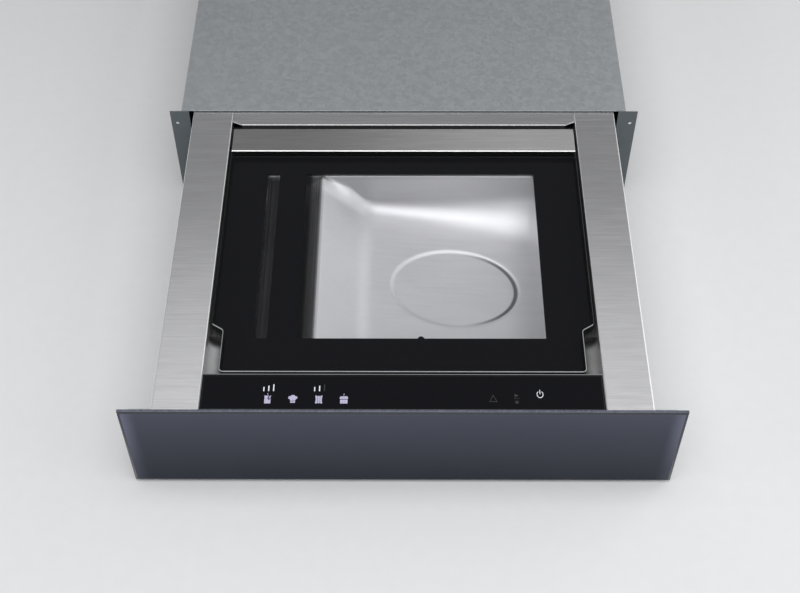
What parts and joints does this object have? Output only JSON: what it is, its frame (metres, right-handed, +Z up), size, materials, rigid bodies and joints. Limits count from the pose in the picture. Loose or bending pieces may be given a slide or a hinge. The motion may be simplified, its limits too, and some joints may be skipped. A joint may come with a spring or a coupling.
{
  "type": "vacuum sealing drawer",
  "caption": "Built-in kitchen drawer with a hinged glass lid over a steel vacuum chamber with a heated seal bar, pulled out of its housing on ball runners.",
  "frame": {"origin": "on the niche floor, in the middle of the housing's front edge", "axes": "+X to the right seen from the front, +Y into the niche, +Z up; the drawer pulls out along -Y"},
  "size_m": [0.597, 0.988, 0.141],
  "materials": {
    "front_glass": "dark coated glass, polished",
    "control_glass": "dark printed glass, polished",
    "lid_glass": "grey tinted glass, printed border",
    "brushed_trim": "brushed across the width",
    "hinge_steel": "brushed along the bar",
    "basin_steel": "satin",
    "pan_steel": "satin",
    "galvanised_sheet": "galvanised, slight bloom",
    "flange_coat": "satin grey",
    "runner_zinc": "bright zinc",
    "cage_plastic": "semi-matt",
    "black_plastic": "semi-matt",
    "light_trim": "satin silver",
    "clear_plastic": "diffusing",
    "board_green": "solder mask",
    "silicone": "matt",
    "black_rubber": "matt",
    "seal_aluminium": "extruded",
    "band_metal": "bright strip",
    "cover_tape": "coated glass cloth",
    "bright_steel": "ground",
    "brass": "turned",
    "pump_paint": "dark grey enamel",
    "pump_aluminium": "die cast",
    "coil_varnish": "varnished winding",
    "screw_steel": "zinc plated"
  },
  "bodies": {
    "housing": {"housing_base": "galvanised_sheet", "housing_top": "galvanised_sheet", "housing_side_left": "flange_coat", "housing_side_right": "flange_coat", "housing_rear": "galvanised_sheet", "runner_outer_left": "runner_zinc", "runner_outer_right": "runner_zinc", "runner_rivets": "screw_steel", "cable_gland": "black_plastic", "push_latch": "black_plastic"},
    "drawer": {"front_glass": "front_glass", "front_carrier": "galvanised_sheet", "drawer_tray": "galvanised_sheet", "front_screws": "screw_steel", "rail_cover_left": "brushed_trim", "rail_cover_right": "brushed_trim", "deck_pan": "pan_steel", "deck_ledges": "galvanised_sheet", "rear_deck_strip": "brushed_trim", "rear_cover": "galvanised_sheet", "control_bezel": "light_trim", "control_glass": "control_glass", "control_board": "board_green", "light_guides": "clear_plastic", "chamber_basin": "basin_steel", "suction_cap": "black_plastic", "hinge_bracket_left": "pan_steel", "hinge_bracket_right": "pan_steel", "hinge_pins": "bright_steel", "hinge_washers": "brass", "lift_cylinders": "pump_aluminium", "runner_inner_left": "runner_zinc", "runner_inner_right": "runner_zinc", "pump_motor": "pump_paint", "vacuum_pump": "pump_aluminium", "pump_feet": "black_rubber", "valve_block": "brass", "valve_solenoid": "black_plastic", "vacuum_hose": "black_rubber", "power_board": "board_green", "transformer": "coil_varnish"},
    "lid": {"lid_glass": "lid_glass", "lid_hinge_bar": "hinge_steel", "lid_hinge_arm_left": "bright_steel", "lid_hinge_arm_right": "bright_steel", "lid_gasket": "silicone", "counter_strip": "silicone"},
    "sealing_bar": {"seal_bar": "seal_aluminium", "heating_band": "band_metal", "seal_cover": "cover_tape", "lift_rods": "bright_steel"},
    "latch": {"latch_plunger": "light_trim"},
    "rotor": {"pump_rotor": "black_plastic"},
    "valve": {"valve_plunger": "bright_steel"},
    "middle_left": {"runner_middle_left": "runner_zinc"},
    "middle_right": {"runner_middle_right": "runner_zinc"},
    "cage_outer_left": {"ball_cage_outer_left": "cage_plastic"},
    "cage_outer_right": {"ball_cage_outer_right": "cage_plastic"},
    "cage_inner_left": {"ball_cage_inner_left": "cage_plastic"},
    "cage_inner_right": {"ball_cage_inner_right": "cage_plastic"}
  },
  "joints": [
    {"name": "drawer_slide", "type": "slide", "parent": "housing", "child": "drawer", "axis": [0, 1, 0], "range_m": [0, 0.43]},
    {"name": "lid_hinge", "type": "hinge", "parent": "drawer", "child": "lid", "pos_m": [0, -0.0375, 0.1305], "axis": [1, 0, 0], "range_deg": [-75, 0]},
    {"name": "seal_bar_lift", "type": "slide", "parent": "drawer", "child": "sealing_bar", "axis": [0, 0, 1], "range_m": [0, 0.006]},
    {"name": "pump_rotor_spin", "type": "hinge", "parent": "drawer", "child": "rotor", "pos_m": [-0.12, 0, 0.06], "axis": [1, 0, 0], "continuous": true},
    {"name": "latch_press", "type": "slide", "parent": "housing", "child": "latch", "axis": [0, 1, 0], "range_m": [0, 0.006], "stiffness_N_per_m": 400, "springref_m": -0.004},
    {"name": "valve_stroke", "type": "slide", "parent": "drawer", "child": "valve", "axis": [0, 0, 1], "range_m": [0, 0.002], "stiffness_N_per_m": 300, "springref_m": -0.003},
    {"name": "middle_left_slide", "type": "slide", "parent": "housing", "child": "middle_left", "axis": [0, 1, 0], "range_m": [0, 0.215]},
    {"name": "middle_right_slide", "type": "slide", "parent": "housing", "child": "middle_right", "axis": [0, 1, 0], "range_m": [0, 0.215]},
    {"name": "cage_outer_left_slide", "type": "slide", "parent": "housing", "child": "cage_outer_left", "axis": [0, 1, 0], "range_m": [0, 0.1075]},
    {"name": "cage_outer_right_slide", "type": "slide", "parent": "housing", "child": "cage_outer_right", "axis": [0, 1, 0], "range_m": [0, 0.1075]},
    {"name": "cage_inner_left_slide", "type": "slide", "parent": "housing", "child": "cage_inner_left", "axis": [0, 1, 0], "range_m": [0, 0.3225]},
    {"name": "cage_inner_right_slide", "type": "slide", "parent": "housing", "child": "cage_inner_right", "axis": [0, 1, 0], "range_m": [0, 0.3225]}
  ],
  "couplings": [
    {"joint": "middle_left_slide", "follows": "drawer_slide", "ratio": 0.5},
    {"joint": "middle_right_slide", "follows": "drawer_slide", "ratio": 0.5},
    {"joint": "cage_outer_left_slide", "follows": "drawer_slide", "ratio": 0.25},
    {"joint": "cage_outer_right_slide", "follows": "drawer_slide", "ratio": 0.25},
    {"joint": "cage_inner_left_slide", "follows": "drawer_slide", "ratio": 0.75},
    {"joint": "cage_inner_right_slide", "follows": "drawer_slide", "ratio": 0.75}
  ]
}
